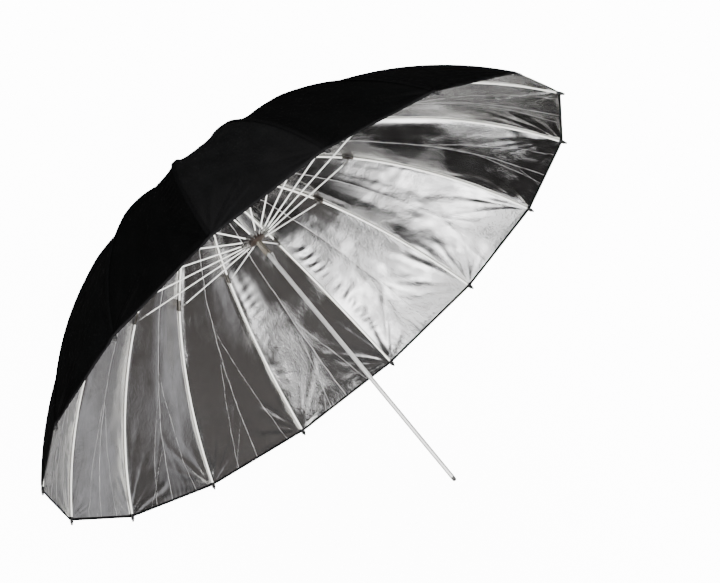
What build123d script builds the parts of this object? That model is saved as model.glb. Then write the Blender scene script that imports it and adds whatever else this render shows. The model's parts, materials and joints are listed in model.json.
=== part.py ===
from build123d import *

import os
from math import atan2, cos, degrees, hypot, radians, sin

# Sixteen-rib studio umbrella reflector, open. Millimetres, +Z up. The shaft lies along Y:
# the crown is at +Y and the handle end at -Y. The origin is on the shaft's axis, where a
# lamp bracket grips it. Each rib has a profile plane, whose x runs out from the shaft's
# axis and whose y runs towards the crown from the pivots of the ribs. A slope is the
# angle in degrees by which something leans from the rib plane towards the handle.

os.makedirs("parts", exist_ok=True)

# ---- whole umbrella ----
rib_count = 16
rib_pitch = 360 / rib_count
rim_radius = 750.0
shaft_length = 940.0  # rib pivots to the rounded end of the plug
grip_from_end = 150.0  # lamp bracket to the handle end
crown_y = shaft_length - grip_from_end

# ---- shaft ----
shaft_radius = 5.0
shaft_bore = 4.2
shaft_above_pivots = 10.0
plug_length = 10.0
plug_radius = 4.8
plug_spigot = 12.0
groove_depth = 0.3
groove_width = 1.6
groove_from_foot = 4.0

# ---- linkage ----
pivot_radius = 15.0  # both wire rings
joint_radius = 382.5
joint_drop = 100.5
runner_drop = 2 * joint_drop  # ribs and stretchers are equally long between pivots
closed_lean = 1.5  # degrees between a folded rib and the shaft
wire_radius = 0.6
eye_bore = 0.85
eye_radius = 2.0
eye_reach = 8.0
running_gap = 0.3

# ---- ribs ----
rod_radius = 2.5
rib_eye_width = 2.6
rib_socket_radius = 2.8
rib_socket_end = 20.0
sleeve_slope = 27.0
sleeve_radius = 3.5
sleeve_half_length = 15.0
lug_offset = 9.0
lug_width = 2.0
lug_breadth = 4.0
rivet_radius = 0.9
rivet_length = 5.0
outer_slope = 30.0
tip_slope = 56.0
tip_cap_length = 14.0
tip_cap_radius = 3.0
tip_cap_rounding = 1.8

# ---- stretchers ----
stretcher_radius = 1.75
fitting_length = 26.0
stretcher_eye_width = 2.4
runner_socket_radius = 2.2
fork_radius = 2.3
fork_gap = lug_width + 2 * running_gap
fork_reach = 3.6
fork_bore = rivet_radius + running_gap

# ---- crown and runner ----
hub_radius = 20.0
slot_wall_gap = 0.4
slot_floor_radius = pivot_radius - eye_radius - 2 * slot_wall_gap
crown_top = 3.7
crown_bottom = -5.5
neck_radius = 7.4
neck_top = 12.0
runner_bore = shaft_radius + running_gap
runner_tube_radius = 7.5
runner_lip_radius = 8.5
runner_lip_length = 2.0
runner_above = 5.0
runner_below = 46.0
gallery_below = 4.2
gallery_collar_width = 1.5
gallery_collar_length = 3.0

# ---- fabric ----
fabric_gap = 4.2  # rod axis to the inner face of the fabric
fabric_thickness = 0.6
fabric_hole = 8.0
binding_width = 4.0
binding_overhang = 0.6
washer_radius = 15.0
washer_thickness = 1.4
cap_radius = 9.5
cap_height = 28.0
cap_skirt = 4.0
cap_shoulder_height = 10.0
cap_shoulder_radius = 5.5
cap_tip_radius = 4.5

# ---- catch ----
catch_width = 2.4
catch_slot_width = 3.0
catch_gap = 1.0
catch_peak_radius = 10.8
catch_foot_drop = 53.0
catch_foot_radius = 3.2
catch_foot_thickness = 1.2
catch_root_radius = 3.4
catch_bend_drop = 29.0
catch_bend_radius = 4.0
catch_thickness = 1.6
catch_bend_rise = 2.0
catch_head_thickness = 3.1
catch_head_ease = 0.2
catch_head_edge = 1.8
catch_slot_above_foot = 18.5
catch_slot_above_top = 1.5


def along(slope):
    """Direction in a profile plane of something that leans by this slope."""
    return Vector(cos(radians(slope)), -sin(radians(slope)))


def above(slope):
    """Direction at right angles to along(slope), on the crown side."""
    return Vector(sin(radians(slope)), cos(radians(slope)))


def slope_between(first, last):
    return -degrees(atan2(last.Y - first.Y, last.X - first.X))


def rib_plane(index):
    """Profile plane of one rib. A half index gives the plane in the middle of a gore."""
    turn = radians(index * rib_pitch)
    return Plane(
        origin=(0, crown_y, 0),
        x_dir=(cos(turn), 0, sin(turn)),
        z_dir=(-sin(turn), 0, cos(turn)),
    )


def cross_section(plane, point, slope):
    """Plane through a profile point, at right angles to a slope."""
    lean = along(slope)
    return Plane(
        origin=plane.from_local_coords((point.X, point.Y, 0)),
        z_dir=plane.x_dir * lean.X + plane.y_dir * lean.Y,
    )


# ---- rib line, in a profile plane ----
crown_pivot = Vector(pivot_radius, 0)
joint_pivot = Vector(joint_radius, -joint_drop)
runner_pivot = Vector(pivot_radius, -runner_drop)
sleeve_centre = joint_pivot + above(sleeve_slope) * lug_offset
sleeve_start = sleeve_centre - along(sleeve_slope) * sleeve_half_length
sleeve_end = sleeve_centre + along(sleeve_slope) * sleeve_half_length
flex_point = sleeve_end + along(sleeve_slope) * (rod_radius + running_gap)

inner_chord = sleeve_start - crown_pivot
inner_chord_slope = slope_between(crown_pivot, sleeve_start)
crown_slope = 2 * inner_chord_slope - sleeve_slope
inner_arc_radius = inner_chord.length / (2 * sin(radians(sleeve_slope - inner_chord_slope)))
inner_arc_centre = crown_pivot - above(crown_slope) * inner_arc_radius
inner_rod_slope = crown_slope + degrees(rib_socket_end / inner_arc_radius)

outer_run = rim_radius - tip_cap_length * cos(radians(tip_slope)) - flex_point.X
outer_chord_slope = (outer_slope + tip_slope) / 2
outer_chord_length = outer_run / cos(radians(outer_chord_slope))
outer_arc_radius = outer_chord_length / (2 * sin(radians((tip_slope - outer_slope) / 2)))
outer_arc_centre = flex_point - above(outer_slope) * outer_arc_radius
rod_end = outer_arc_centre + above(tip_slope) * outer_arc_radius
rib_tip = rod_end + along(tip_slope) * tip_cap_length

stretcher_slope = slope_between(runner_pivot, joint_pivot)
stretcher_length = hypot(joint_radius - pivot_radius, joint_drop)
open_angle = degrees(atan2(joint_radius - pivot_radius, joint_drop))
fold_angle = open_angle - closed_lean


def make_rod(plane, centre, arc_radius, first_slope, last_slope):
    """Fibreglass rod bent to an arc."""
    with BuildPart() as rod:
        with BuildLine(plane) as path:
            CenterArc((centre.X, centre.Y), arc_radius, 90 - first_slope, first_slope - last_slope)
        start = centre + above(first_slope) * arc_radius
        with BuildSketch(cross_section(plane, start, first_slope)):
            Circle(rod_radius)
        sweep(path=path.line)
    return rod.part


def make_eye(plane, pivot, slope, width, socket_radius, socket_end):
    """Flat eye that swings on a wire ring, with the socket that is crimped on a rod."""
    middle = pivot + along(slope) * (eye_reach / 2)
    with BuildPart() as eye:
        with BuildSketch(plane):
            with Locations((pivot.X, pivot.Y)):
                Circle(eye_radius)
            with Locations(Location((middle.X, middle.Y, 0), (0, 0, -slope))):
                Rectangle(eye_reach, 2 * eye_radius)
            with Locations((pivot.X, pivot.Y)):
                Circle(eye_bore, mode=Mode.SUBTRACT)
        extrude(amount=width / 2, both=True)
        with BuildSketch(cross_section(plane, pivot + along(slope) * eye_reach, slope)):
            Circle(socket_radius)
        extrude(amount=socket_end - eye_reach)
    return eye.part


def make_sleeve(plane):
    """Steel sleeve on a rib, with the lug and the rivet that carry a stretcher."""
    lug_middle = joint_pivot + above(sleeve_slope) * (lug_offset / 2)
    with BuildPart() as sleeve:
        with BuildSketch(cross_section(plane, sleeve_start, sleeve_slope)):
            Circle(sleeve_radius)
        extrude(amount=2 * sleeve_half_length)
        with BuildSketch(plane):
            with Locations((joint_pivot.X, joint_pivot.Y)):
                Circle(fork_radius)
            with Locations(Location((lug_middle.X, lug_middle.Y, 0), (0, 0, -sleeve_slope))):
                Rectangle(lug_breadth, lug_offset)
        extrude(amount=lug_width / 2, both=True)
        with BuildSketch(plane):
            with Locations((joint_pivot.X, joint_pivot.Y)):
                Circle(rivet_radius)
        extrude(amount=rivet_length / 2, both=True)
    return sleeve.part


def make_ball(plane):
    """Rounded start of the outer rod, centred on the point where it flexes."""
    with BuildPart() as ball:
        with Locations(plane.location):
            with Locations((flex_point.X, flex_point.Y, 0)):
                Sphere(rod_radius)
    return ball.part


def make_tip_cap(plane):
    """Cap on the end of a rib, which the corner of the fabric is sewn to."""
    with BuildPart() as cap:
        with BuildSketch(cross_section(plane, rod_end, tip_slope)):
            Circle(tip_cap_radius)
        extrude(amount=tip_cap_length)
        fillet(cap.faces().sort_by(Axis.Y)[0].edges(), tip_cap_rounding)
    return cap.part


def make_fork(plane):
    """Forked end of a stretcher, astride a sleeve's lug, with its socket."""
    slope = stretcher_slope + 180
    middle = joint_pivot + along(slope) * (eye_reach / 2)
    gap_middle = joint_pivot + along(slope) * ((fork_reach - fork_radius) / 2)
    with BuildPart() as fork:
        with BuildSketch(plane):
            with Locations((joint_pivot.X, joint_pivot.Y)):
                Circle(fork_radius)
            with Locations(Location((middle.X, middle.Y, 0), (0, 0, -slope))):
                Rectangle(eye_reach, 2 * fork_radius)
        extrude(amount=fork_radius, both=True)
        with BuildSketch(cross_section(plane, joint_pivot + along(slope) * eye_reach, slope)):
            Circle(fork_radius)
        extrude(amount=fitting_length - eye_reach)
        with BuildSketch(plane):
            with Locations(Location((gap_middle.X, gap_middle.Y, 0), (0, 0, -slope))):
                Rectangle(fork_reach + fork_radius + 1, 2 * fork_radius + 1)
        extrude(amount=fork_gap / 2, both=True, mode=Mode.SUBTRACT)
        with BuildSketch(plane):
            with Locations((joint_pivot.X, joint_pivot.Y)):
                Circle(fork_bore)
        extrude(amount=fork_radius, both=True, mode=Mode.SUBTRACT)
    return fork.part


def make_stretcher_rod(plane):
    start = runner_pivot + along(stretcher_slope) * fitting_length
    with BuildPart() as rod:
        with BuildSketch(cross_section(plane, start, stretcher_slope)):
            Circle(stretcher_radius)
        extrude(amount=stretcher_length - 2 * fitting_length)
    return rod.part


def export_piece(piece, name):
    piece.label = name
    export_step(piece, f"parts/{name}.step")


# ---- ribs and stretchers ----
for index in range(rib_count):
    plane = rib_plane(index)
    number = f"{index + 1:02d}"

    rib_eye = make_eye(
        plane, crown_pivot, crown_slope, rib_eye_width, rib_socket_radius, rib_socket_end
    )
    rib_rod = make_rod(plane, inner_arc_centre, inner_arc_radius, inner_rod_slope, sleeve_slope)
    export_piece(Compound(children=[rib_eye, rib_rod, make_sleeve(plane)]), f"rib_{number}")

    with BuildPart() as outer_rod:
        add(make_rod(plane, outer_arc_centre, outer_arc_radius, outer_slope, tip_slope))
        add(make_ball(plane))
    export_piece(Compound(children=[outer_rod.part, make_tip_cap(plane)]), f"rib_end_{number}")

    stretcher_eye = make_eye(
        plane,
        runner_pivot,
        stretcher_slope,
        stretcher_eye_width,
        runner_socket_radius,
        fitting_length,
    )
    stretcher_pieces = [stretcher_eye, make_stretcher_rod(plane), make_fork(plane)]
    export_piece(Compound(children=stretcher_pieces), f"stretcher_{number}")

# ---- shaft ----
shaft_plane = rib_plane(0)
plug_face = -(shaft_length - plug_length)
runner_end = -(runner_drop + runner_below)
catch_top = runner_end - catch_gap
catch_foot = catch_top - catch_foot_drop
groove_middle = catch_foot - groove_from_foot

with BuildPart() as shaft_tube:
    with BuildSketch(shaft_plane):
        with BuildLine():
            Polyline(
                (shaft_bore, shaft_above_pivots),
                (shaft_radius, shaft_above_pivots),
                (shaft_radius, groove_middle + groove_width / 2),
                (shaft_radius - groove_depth, groove_middle),
                (shaft_radius, groove_middle - groove_width / 2),
                (shaft_radius, plug_face),
                (shaft_bore, plug_face),
                close=True,
            )
        make_face()
    revolve(axis=Axis.Y)
    slot_length = catch_foot_drop - catch_slot_above_foot + catch_slot_above_top
    with BuildSketch(shaft_plane):
        with Locations((catch_foot_thickness, catch_foot + catch_slot_above_foot)):
            Rectangle(shaft_radius, slot_length, align=(Align.MIN, Align.MIN))
    extrude(amount=catch_slot_width / 2, both=True, mode=Mode.SUBTRACT)
shaft_tube.part.label = "shaft_tube"
export_step(shaft_tube.part, "parts/shaft_tube.step")

with BuildPart() as shaft_end_plug:
    with BuildSketch(shaft_plane):
        with BuildLine():
            Line((0, plug_face + plug_spigot), (shaft_bore, plug_face + plug_spigot))
            Line((shaft_bore, plug_face + plug_spigot), (shaft_bore, plug_face))
            Line((shaft_bore, plug_face), (plug_radius, plug_face))
            Line((plug_radius, plug_face), (plug_radius, plug_radius - shaft_length))
            RadiusArc((plug_radius, plug_radius - shaft_length), (0, -shaft_length), plug_radius)
            Line((0, -shaft_length), (0, plug_face + plug_spigot))
        make_face()
    revolve(axis=Axis.Y)
shaft_end_plug.part.label = "shaft_end_plug"
export_step(shaft_end_plug.part, "parts/shaft_end_plug.step")

# ---- catch: a bent strip that stands out of the shaft below the runner ----
with BuildPart() as catch_spring:
    with BuildSketch(shaft_plane):
        with BuildLine():
            Polyline(
                (catch_root_radius, catch_top),
                (catch_peak_radius - catch_head_ease, catch_top),
                (catch_peak_radius, catch_top - catch_head_edge),
                (catch_bend_radius, catch_top - catch_bend_drop),
                (catch_foot_radius, catch_foot),
                (catch_foot_radius - catch_foot_thickness, catch_foot),
                (catch_bend_radius - catch_thickness, catch_top - catch_bend_drop + catch_bend_rise),
                (catch_peak_radius - 2 * catch_thickness, catch_top - catch_head_thickness),
                (catch_root_radius, catch_top - catch_head_thickness),
                close=True,
            )
        make_face()
    extrude(amount=catch_width / 2, both=True)
catch_spring.part.label = "catch_spring"
export_step(catch_spring.part, "parts/catch_spring.step")

# ---- crown ----
with BuildPart() as crown_notch:
    with BuildSketch(shaft_plane):
        with BuildLine():
            Polyline(
                (shaft_radius, crown_bottom),
                (hub_radius, crown_bottom),
                (hub_radius, crown_top),
                (neck_radius, crown_top),
                (neck_radius, neck_top),
                (shaft_radius, neck_top),
                close=True,
            )
        make_face()
    revolve(axis=Axis.Y)
    slot_top = eye_radius + slot_wall_gap
    for index in range(rib_count):
        with BuildSketch(rib_plane(index)):
            with Locations((slot_floor_radius, slot_top)):
                Rectangle(hub_radius, hub_radius, align=(Align.MIN, Align.MAX))
        extrude(amount=rib_eye_width / 2 + running_gap, both=True, mode=Mode.SUBTRACT)
    with BuildSketch(shaft_plane):
        with Locations((pivot_radius, 0)):
            Circle(wire_radius)
    revolve(axis=Axis.Y, mode=Mode.SUBTRACT)
crown_notch.part.label = "crown_notch"
export_step(crown_notch.part, "parts/crown_notch.step")

with BuildPart() as crown_wire:
    with BuildSketch(shaft_plane):
        with Locations((pivot_radius, 0)):
            Circle(wire_radius)
    revolve(axis=Axis.Y)
crown_wire.part.label = "crown_wire"
export_step(crown_wire.part, "parts/crown_wire.step")

fabric_face = fabric_gap + fabric_thickness
with BuildPart() as fabric_washer:
    with BuildSketch(shaft_plane):
        with Locations((neck_radius, fabric_face)):
            Rectangle(washer_radius - neck_radius, washer_thickness, align=(Align.MIN, Align.MIN))
    revolve(axis=Axis.Y)
fabric_washer.part.label = "fabric_washer"
export_step(fabric_washer.part, "parts/fabric_washer.step")

cap_base = fabric_face + washer_thickness
cap_shoulder = (cap_shoulder_radius, cap_base + cap_shoulder_height)
cap_side = (cap_tip_radius, cap_base + cap_height - cap_tip_radius)
with BuildPart() as ferrule_cap:
    with BuildSketch(shaft_plane):
        with BuildLine():
            Line((neck_radius, cap_base), (cap_radius, cap_base))
            Line((cap_radius, cap_base), (cap_radius, cap_base + cap_skirt))
            Line((cap_radius, cap_base + cap_skirt), cap_shoulder)
            Line(cap_shoulder, cap_side)
            RadiusArc(cap_side, (0, cap_base + cap_height), -cap_tip_radius)
            Line((0, cap_base + cap_height), (0, neck_top))
            Line((0, neck_top), (neck_radius, neck_top))
            Line((neck_radius, neck_top), (neck_radius, cap_base))
        make_face()
    revolve(axis=Axis.Y)
ferrule_cap.part.label = "ferrule_cap"
export_step(ferrule_cap.part, "parts/ferrule_cap.step")

# ---- runner ----
collar_bottom = -runner_drop - gallery_below - gallery_collar_length
with BuildPart() as runner_gallery:
    with BuildSketch(shaft_plane):
        with BuildLine():
            Polyline(
                (runner_tube_radius, runner_above - runner_drop),
                (hub_radius, runner_above - runner_drop),
                (hub_radius, -gallery_below - runner_drop),
                (runner_tube_radius + gallery_collar_width, collar_bottom),
                (runner_tube_radius, collar_bottom),
                close=True,
            )
        make_face()
    revolve(axis=Axis.Y)
    slot_bottom = -runner_drop - eye_radius - slot_wall_gap
    for index in range(rib_count):
        with BuildSketch(rib_plane(index)):
            with Locations((slot_floor_radius, slot_bottom)):
                Rectangle(hub_radius, hub_radius, align=(Align.MIN, Align.MIN))
        extrude(amount=stretcher_eye_width / 2 + running_gap, both=True, mode=Mode.SUBTRACT)
    with BuildSketch(shaft_plane):
        with Locations((pivot_radius, -runner_drop)):
            Circle(wire_radius)
    revolve(axis=Axis.Y, mode=Mode.SUBTRACT)
runner_gallery.part.label = "runner_gallery"
export_step(runner_gallery.part, "parts/runner_gallery.step")

with BuildPart() as runner_wire:
    with BuildSketch(shaft_plane):
        with Locations((pivot_radius, -runner_drop)):
            Circle(wire_radius)
    revolve(axis=Axis.Y)
runner_wire.part.label = "runner_wire"
export_step(runner_wire.part, "parts/runner_wire.step")

with BuildPart() as runner_sleeve:
    with BuildSketch(shaft_plane):
        with BuildLine():
            Polyline(
                (runner_bore, runner_above - runner_drop),
                (runner_tube_radius, runner_above - runner_drop),
                (runner_tube_radius, runner_end + 2 * runner_lip_length),
                (runner_lip_radius, runner_end + runner_lip_length),
                (runner_lip_radius, runner_end),
                (runner_bore, runner_end),
                close=True,
            )
        make_face()
    revolve(axis=Axis.Y)
runner_sleeve.part.label = "runner_sleeve"
export_step(runner_sleeve.part, "parts/runner_sleeve.step")


# ---- fabric: flat across each gore, curved like the ribs along it ----
def gore_point(point, squeeze=cos(radians(rib_pitch / 2))):
    """A rib-plane point as it lies in the middle plane of a gore, nearer the shaft."""
    return (point.X * squeeze, point.Y)


def gore_arc(centre, arc_radius, first_slope, last_slope):
    middle_slope = (first_slope + last_slope) / 2
    slopes = (first_slope, middle_slope, last_slope)
    ThreePointArc(*[gore_point(centre + above(slope) * arc_radius) for slope in slopes])


def fabric_points(gap):
    """Ends of the straight stretches of the fabric, at this gap from the rod's axis."""
    return {
        "hole": Vector(fabric_hole / cos(radians(rib_pitch / 2)), crown_pivot.Y + gap),
        "crown": crown_pivot + above(crown_slope) * gap,
        "sleeve": sleeve_start + above(sleeve_slope) * gap,
        "flex": flex_point + above(outer_slope) * gap,
        "rim": rod_end + above(tip_slope) * gap,
    }


def make_gore_ring(draw_section):
    """All the gores of a sewn piece, from its section in a gore's middle plane."""
    gore_half_width = rim_radius * sin(radians(rib_pitch / 2)) + 10
    with BuildPart() as gore:
        with BuildSketch(rib_plane(0.5)):
            with BuildLine():
                draw_section()
            make_face()
        extrude(amount=gore_half_width, both=True)
        split(bisect_by=rib_plane(0), keep=Keep.TOP)
        split(bisect_by=rib_plane(1), keep=Keep.BOTTOM)
    with BuildPart() as ring:
        add([gore.part.rotate(Axis.Y, -rib_pitch * index) for index in range(rib_count)])
    return ring.part


def draw_canopy_section():
    under = fabric_points(fabric_gap)
    over = fabric_points(fabric_gap + fabric_thickness)
    for gap, side in ((fabric_gap, under), (fabric_gap + fabric_thickness, over)):
        Line(gore_point(side["hole"]), gore_point(side["crown"]))
        gore_arc(inner_arc_centre, inner_arc_radius + gap, crown_slope, sleeve_slope)
        Line(gore_point(side["sleeve"]), gore_point(side["flex"]))
        gore_arc(outer_arc_centre, outer_arc_radius + gap, outer_slope, tip_slope)
    Line(gore_point(under["hole"]), gore_point(over["hole"]))
    Line(gore_point(under["rim"]), gore_point(over["rim"]))


def draw_binding_section():
    under = rod_end + above(tip_slope) * (fabric_gap - binding_overhang)
    over = rod_end + above(tip_slope) * (fabric_gap + fabric_thickness + binding_overhang)
    reach = along(tip_slope) * binding_width
    corners = [under, under + reach, over + reach, over]
    Polyline(*[gore_point(corner) for corner in corners], close=True)


canopy = make_gore_ring(draw_canopy_section)
export_piece(canopy, "canopy")
rim_binding = make_gore_ring(draw_binding_section)
export_piece(rim_binding, "rim_binding")

print(f"rib line starts at a slope of {crown_slope:.2f} degrees")
print(f"rib tip at radius {rib_tip.X:.1f}, {-rib_tip.Y:.1f} below the rib pivots")
print(f"fold: {fold_angle:.3f} degrees, runner travel "
      f"{2 * stretcher_length * cos(radians(closed_lean)) - runner_drop:.1f}")
print(f"free shaft from Y {crown_y + groove_middle - groove_width / 2:.2f} to {crown_y + plug_face:.2f}")
for name, point in (("joint", joint_pivot), ("runner", runner_pivot), ("flex", flex_point)):
    print(f"{name} pivot: radius {point.X:.4f}, Y {crown_y + point.Y:.4f}")
print(f"catch foot Y {crown_y + catch_foot:.2f}")
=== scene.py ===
import json
from math import atan2, cos, hypot, pi, radians, sin, tan

import bmesh
import bpy
import numpy as np
from mathutils import Matrix, Vector

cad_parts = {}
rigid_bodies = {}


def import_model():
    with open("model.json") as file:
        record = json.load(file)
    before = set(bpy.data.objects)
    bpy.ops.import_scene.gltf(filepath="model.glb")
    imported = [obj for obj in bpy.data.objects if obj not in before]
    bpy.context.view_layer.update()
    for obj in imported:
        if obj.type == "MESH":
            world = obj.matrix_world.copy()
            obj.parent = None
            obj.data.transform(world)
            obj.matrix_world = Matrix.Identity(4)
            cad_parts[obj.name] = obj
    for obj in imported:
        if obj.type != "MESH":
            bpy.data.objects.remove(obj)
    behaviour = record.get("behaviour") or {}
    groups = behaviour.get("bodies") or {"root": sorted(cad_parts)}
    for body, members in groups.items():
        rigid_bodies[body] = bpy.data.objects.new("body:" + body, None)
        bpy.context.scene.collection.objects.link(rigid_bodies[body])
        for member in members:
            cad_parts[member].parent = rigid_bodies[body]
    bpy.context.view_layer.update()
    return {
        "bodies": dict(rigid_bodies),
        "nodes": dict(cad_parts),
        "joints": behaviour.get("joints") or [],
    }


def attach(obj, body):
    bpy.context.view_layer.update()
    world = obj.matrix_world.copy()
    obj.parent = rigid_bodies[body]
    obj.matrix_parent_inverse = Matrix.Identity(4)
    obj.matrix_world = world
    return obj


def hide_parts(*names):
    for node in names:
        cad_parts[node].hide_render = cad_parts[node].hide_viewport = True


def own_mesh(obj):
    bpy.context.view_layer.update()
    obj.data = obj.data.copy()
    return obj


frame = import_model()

# Sixteen-rib studio umbrella reflector, open, in metres. The shaft lies along Y with the
# crown at +Y. A rib's profile frame has x outwards from the shaft's axis, y towards the
# crown from the pivots of the ribs, and z along the rim. A slope is the angle by which
# something leans from the rib plane towards the handle.

# ---- places, from the frame ----
joints = {joint["name"]: joint for joint in frame["joints"]}
rib_count = sum(name.startswith("rib_end_") for name in frame["bodies"])
pitch = 2 * pi / rib_count
crown_y = joints["rib_01_fold"]["pos_m"][1]


def profile_point(joint_name):
    x, y, _ = joints[joint_name]["pos_m"]
    return np.array([x, y - crown_y])


crown_pivot = profile_point("rib_01_fold")
joint_pivot = profile_point("stretcher_01_pivot")
runner_pivot = profile_point("runner_pivot")
flex_point = profile_point("rib_end_01_flex")
rim_radius = 0.750

# ---- driving sizes ----
sleeve_slope = 27.0
outer_slope = 30.0
tip_slope = 56.0
rod_radius = 0.0025
sleeve_radius = 0.0035
sleeve_half_length = 0.015
lug_offset = 0.009
lug_half_width = 0.0010
eye_bore = 0.00085
eye_radius = 0.0020
eye_reach = 0.008
rib_eye_width = 0.0026
rib_socket_radius = 0.0028
rib_socket_end = 0.020
tip_cap_length = 0.014
tip_cap_radius = 0.0030
stretcher_radius = 0.00175
stretcher_eye_width = 0.0024
runner_socket_radius = 0.0022
fitting_length = 0.026
fork_radius = 0.0023
fork_gap = 0.0026
rivet_radius = 0.0009
rivet_half_length = 0.0025
running_gap = 0.0003
tab_inset = 0.0034
tab_overlap = 0.002
lug_tab_half_breadth = 0.0021
rod_in_rib_socket = 0.004
rod_in_fitting = 0.005
rib_socket_crimps = (0.0135,)
sleeve_crimps = (0.0065, 0.0235)
runner_socket_crimps = (0.0135, 0.0200)
fork_socket_start = 0.0052
fork_crimp = 0.0195
bead_radius = 0.0007
bead_count = 5
first_bead = 0.0016
cap_ease = 0.0003
# pocket round a tip: place along the cap, half width and half height
pocket_sections = (
    (-0.0060, 0.0030, 0.0028), (-0.0056, 0.0042, 0.0033), (-0.0020, 0.0050, 0.0036),
    (0.0040, 0.0054, 0.0037), (0.0082, 0.0050, 0.0036), (0.0086, 0.0040, 0.0033),
)
stitch_pitch = 0.0042
stitch_length = 0.0027
stitch_inset = 0.0012
thread_radius = 0.00022
fabric_thickness = 0.0005
fabric_hole = 0.0082
cover_gap = 0.0036
sleeve_lift = 0.0011
sleeve_lift_reach = 0.040
crown_lift = 0.0013
crown_lift_reach = 0.035
sag_depth = 0.010
tape_thickness = 0.0004
binding_reach = 0.0026
binding_depth = 0.0090
binding_inside = 0.0036
seam_tape_half_width = 0.0046
seam_tape_narrow = 0.0022
seam_tape_thickness = 0.0004
seam_tape_lift = 0.0011
seam_tape_start = 0.012
seam_tape_split = 0.0004


def along(slope):
    """Direction in a profile frame of something that leans by this slope."""
    return np.array([cos(radians(slope)), -sin(radians(slope))])


def above(slope):
    """Direction at right angles to along(slope), on the crown side."""
    return np.array([sin(radians(slope)), cos(radians(slope))])


def slope_between(first, last):
    return -np.degrees(atan2(last[1] - first[1], last[0] - first[0]))


sleeve_centre = joint_pivot + above(sleeve_slope) * lug_offset
sleeve_start = sleeve_centre - along(sleeve_slope) * sleeve_half_length
sleeve_end = sleeve_centre + along(sleeve_slope) * sleeve_half_length
inner_chord = hypot(*(sleeve_start - crown_pivot))
inner_chord_slope = slope_between(crown_pivot, sleeve_start)
crown_slope = 2 * inner_chord_slope - sleeve_slope
inner_arc_radius = inner_chord / (2 * sin(radians(sleeve_slope - inner_chord_slope)))
inner_arc_centre = crown_pivot - above(crown_slope) * inner_arc_radius
outer_run = rim_radius - tip_cap_length * cos(radians(tip_slope)) - flex_point[0]
outer_chord = outer_run / cos(radians((outer_slope + tip_slope) / 2))
outer_arc_radius = outer_chord / (2 * sin(radians((tip_slope - outer_slope) / 2)))
outer_arc_centre = flex_point - above(outer_slope) * outer_arc_radius
rod_end = outer_arc_centre + above(tip_slope) * outer_arc_radius
stretcher_slope = slope_between(runner_pivot, joint_pivot)
stretcher_length = hypot(*(joint_pivot - runner_pivot))


# distances along the cover over a rib, from the crown pivots
sleeve_at = inner_arc_radius * radians(sleeve_slope - crown_slope)
flex_at = sleeve_at + 2 * sleeve_half_length + rod_radius + running_gap
rim_at = flex_at + outer_arc_radius * radians(tip_slope - outer_slope)
fold_wander = 0.006
# fold lines worn into the lining: spread, chance used, where they may fork off, and strength
fold_forks = ((0.0, 0, 0.0, 0.9), (0.26, 0, 0.55, 0.6), (-0.20, 1, 0.62, 0.6), (-0.55, 2, 0.84, 0.4))


# ---- shader parts ----
def new_tree(name, inputs, outputs, kind="ShaderNodeTree"):
    """Node group with named sockets: (name, socket type, value) and (name, socket type)."""
    tree = bpy.data.node_groups.new(name, kind)
    for label, socket_type, value in inputs:
        socket = tree.interface.new_socket(label, in_out="INPUT", socket_type=socket_type)
        if value is not None:
            socket.default_value = value
    for label, socket_type in outputs:
        tree.interface.new_socket(label, in_out="OUTPUT", socket_type=socket_type)
    return tree


class Nodes:
    """Adds nodes to a tree and links them by socket names."""

    def __init__(self, tree):
        self.tree = tree

    def add(self, kind, links=None, **settings):
        node = self.tree.nodes.new(kind)
        for key, value in settings.items():
            setattr(node, key, value)
        for socket, value in (links or {}).items():
            target = node.inputs[socket]
            if isinstance(value, bpy.types.NodeSocket):
                self.tree.links.new(value, target)
            else:
                target.default_value = value
        return node

    def math(self, operation, first, second=0.0, third=0.0):
        links = {0: first, 1: second, 2: third}
        return self.add("ShaderNodeMath", links, operation=operation).outputs[0]

    def plus(self, first, second):
        return self.math("ADD", first, second)

    def minus(self, first, second):
        return self.math("SUBTRACT", first, second)

    def times(self, first, second):
        return self.math("MULTIPLY", first, second)

    def feed(self, shader, socket, value):
        self.tree.links.new(value, shader.inputs[socket])

    def ramp(self, value, low, high, to_low=0.0, to_high=1.0):
        """Value rescaled from low..high to to_low..to_high, and kept inside."""
        links = {0: value, 1: low, 2: high, 3: to_low, 4: to_high}
        return self.add("ShaderNodeMapRange", links).outputs[0]

    def noise(self, vector, scale, detail=3.0, roughness=0.5):
        links = {"Vector": vector, "Scale": scale, "Detail": detail, "Roughness": roughness}
        return self.add("ShaderNodeTexNoise", links).outputs[0]

    def mix(self, share, first, second):
        return self.add("ShaderNodeMix", {0: share, 6: first, 7: second}, data_type="RGBA").outputs[2]

    def stretch(self, vector, scale):
        return self.add("ShaderNodeMapping", {"Vector": vector, "Scale": scale}).outputs[0]


def make_weave_group():
    """Plain weave: height of the threads and a slight shade between them."""
    inputs = [("Cloth", "NodeSocketVector", None), ("Threads per metre", "NodeSocketFloat", 2200.0)]
    outputs = [("Height", "NodeSocketFloat"), ("Shade", "NodeSocketFloat")]
    tree = new_tree("plain_weave", inputs, outputs)
    nodes = Nodes(tree)
    start = nodes.add("NodeGroupInput").outputs
    links = {0: start["Cloth"], "Scale": start["Threads per metre"]}
    scaled = nodes.add("ShaderNodeVectorMath", links, operation="SCALE")
    parts = nodes.add("ShaderNodeSeparateXYZ", {0: scaled.outputs[0]}).outputs
    warp, weft = (nodes.math("SINE", nodes.times(parts[axis], pi)) for axis in (0, 1))
    height = nodes.ramp(nodes.times(warp, weft), -1.0, 1.0)
    shade = nodes.ramp(height, 0.0, 1.0, 0.88, 1.06)
    nodes.add("NodeGroupOutput", {"Height": height, "Shade": shade})
    return tree


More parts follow.
